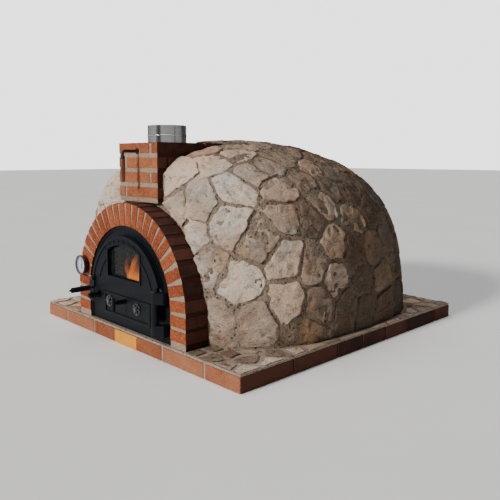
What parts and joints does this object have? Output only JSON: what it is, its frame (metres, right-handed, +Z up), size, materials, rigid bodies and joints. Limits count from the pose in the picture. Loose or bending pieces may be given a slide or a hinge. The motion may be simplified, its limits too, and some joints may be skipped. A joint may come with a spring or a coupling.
{
  "type": "wood fired pizza oven",
  "caption": "Stone clad domed oven on a brick edged slab, with a brick arch, a glazed iron door over a draught door, a chimney with a damper, and a thermometer.",
  "frame": {"origin": "centre of the slab's underside, on the surface that the oven stands on", "axes": "+Z up; the doors and the arch face -Y; +X is on the right of someone facing the doors, the hinge side"},
  "size_m": [1.2, 1.302, 0.782],
  "materials": {
    "concrete": "cast concrete",
    "brick": "rough fired brick",
    "brick_mortar": "struck mortar",
    "bed_mortar": "rough mortar",
    "facing_stone": "split field stone",
    "ledge_stone": "split flagstone",
    "render": "coarse sand render",
    "insulation": "ceramic fibre",
    "refractory": "cast refractory",
    "firebrick": "pressed fire tile",
    "black_iron": "black stove paint, semi matt",
    "dark_steel": "oxidised steel",
    "stainless": "bright stainless",
    "bright_steel": "bare steel",
    "window": "clear heat proof glass",
    "rope": "braided glass fibre rope",
    "handle_wood": "turned and oiled",
    "gauge_case": "dark brown enamel",
    "gauge_dial": "white dial",
    "gauge_needle": "red needle",
    "plate_yellow": "yellow enamel, blank"
  },
  "bodies": {
    "oven": {"base_slab": "concrete", "edge_bricks_front": "brick", "edge_bricks_right": "brick", "edge_bricks_back": "brick", "edge_bricks_left": "brick", "edge_joint_mortar": "brick_mortar", "bedding_mortar": "bed_mortar", "insulation_board": "insulation", "hearth_tiles": "firebrick", "throat_floor": "firebrick", "insulation_blanket": "insulation", "dome_render": "render", "refractory_dome_right": "refractory", "refractory_dome_left": "refractory", "throat_vault": "refractory", "facing_stones_right": "facing_stone", "facing_stones_left": "facing_stone", "facing_stones_back": "facing_stone", "facing_stones_crown": "facing_stone", "ledge_stones": "ledge_stone", "arch_bricks": "brick", "arch_mortar": "brick_mortar", "chimney_bricks": "brick", "chimney_mortar": "brick_mortar", "flue_pipe": "stainless", "flue_collar": "stainless", "damper_bush": "dark_steel", "door_frame": "black_iron", "keeper_stud": "dark_steel", "hinge_lugs": "black_iron", "hinge_pin": "dark_steel", "flap_hinge_ears": "black_iron", "rope_seal": "rope", "thermometer_case": "gauge_case", "thermometer_stem": "stainless", "thermometer_dial": "gauge_dial", "thermometer_glass": "window", "thermometer_bezel": "gauge_case", "edge_plate": "plate_yellow"},
    "upper_door": {"upper_door": "black_iron", "hinge_strap": "black_iron", "window_glass": "window", "glass_retainer": "dark_steel", "retainer_screws": "bright_steel", "latch_bolt": "dark_steel"},
    "door_latch": {"latch_plate": "black_iron", "latch_handle_rod": "dark_steel", "latch_handle_coil": "black_iron"},
    "lower_door": {"lower_door": "black_iron", "flap_hinge_pins": "dark_steel", "vent_bolts": "bright_steel"},
    "turn_handle": {"turn_handle": "black_iron", "turn_handle_catch": "dark_steel"},
    "vent_left": {"vent_rosette_left": "bright_steel"},
    "vent_right": {"vent_rosette_right": "bright_steel"},
    "damper": {"damper_shaft": "dark_steel", "damper_plate": "dark_steel", "damper_handle": "handle_wood", "damper_ferrule": "dark_steel"},
    "needle": {"thermometer_needle": "gauge_needle"}
  },
  "joints": [
    {"name": "upper_door_swing", "type": "hinge", "parent": "oven", "child": "upper_door", "pos_m": [0.208, -0.616, 0.157], "axis": [0, 0, 1], "range_deg": [0, 110]},
    {"name": "door_latch_turn", "type": "hinge", "parent": "upper_door", "child": "door_latch", "pos_m": [-0.208, -0.607, 0.214], "axis": [0, 1, 0], "range_deg": [0, 55]},
    {"name": "lower_door_tilt", "type": "hinge", "parent": "oven", "child": "lower_door", "pos_m": [0.0075, -0.591, 0.102], "axis": [1, 0, 0], "range_deg": [0, 90]},
    {"name": "turn_handle_turn", "type": "hinge", "parent": "lower_door", "child": "turn_handle", "pos_m": [0, -0.591, 0.161], "axis": [0, -1, 0], "range_deg": [0, 90]},
    {"name": "vent_left_turn", "type": "hinge", "parent": "lower_door", "child": "vent_left", "pos_m": [-0.106, -0.598, 0.145], "axis": [0, -1, 0], "range_deg": [0, 30]},
    {"name": "vent_right_turn", "type": "hinge", "parent": "lower_door", "child": "vent_right", "pos_m": [0.073, -0.598, 0.145], "axis": [0, -1, 0], "range_deg": [0, 30]},
    {"name": "damper_turn", "type": "hinge", "parent": "oven", "child": "damper", "pos_m": [0, -0.408, 0.689], "axis": [0, 1, 0], "range_deg": [0, 90]},
    {"name": "needle_turn", "type": "hinge", "parent": "oven", "child": "needle", "pos_m": [-0.295, -0.607, 0.254], "axis": [0, 1, 0], "range_deg": [-120, 120]}
  ]
}
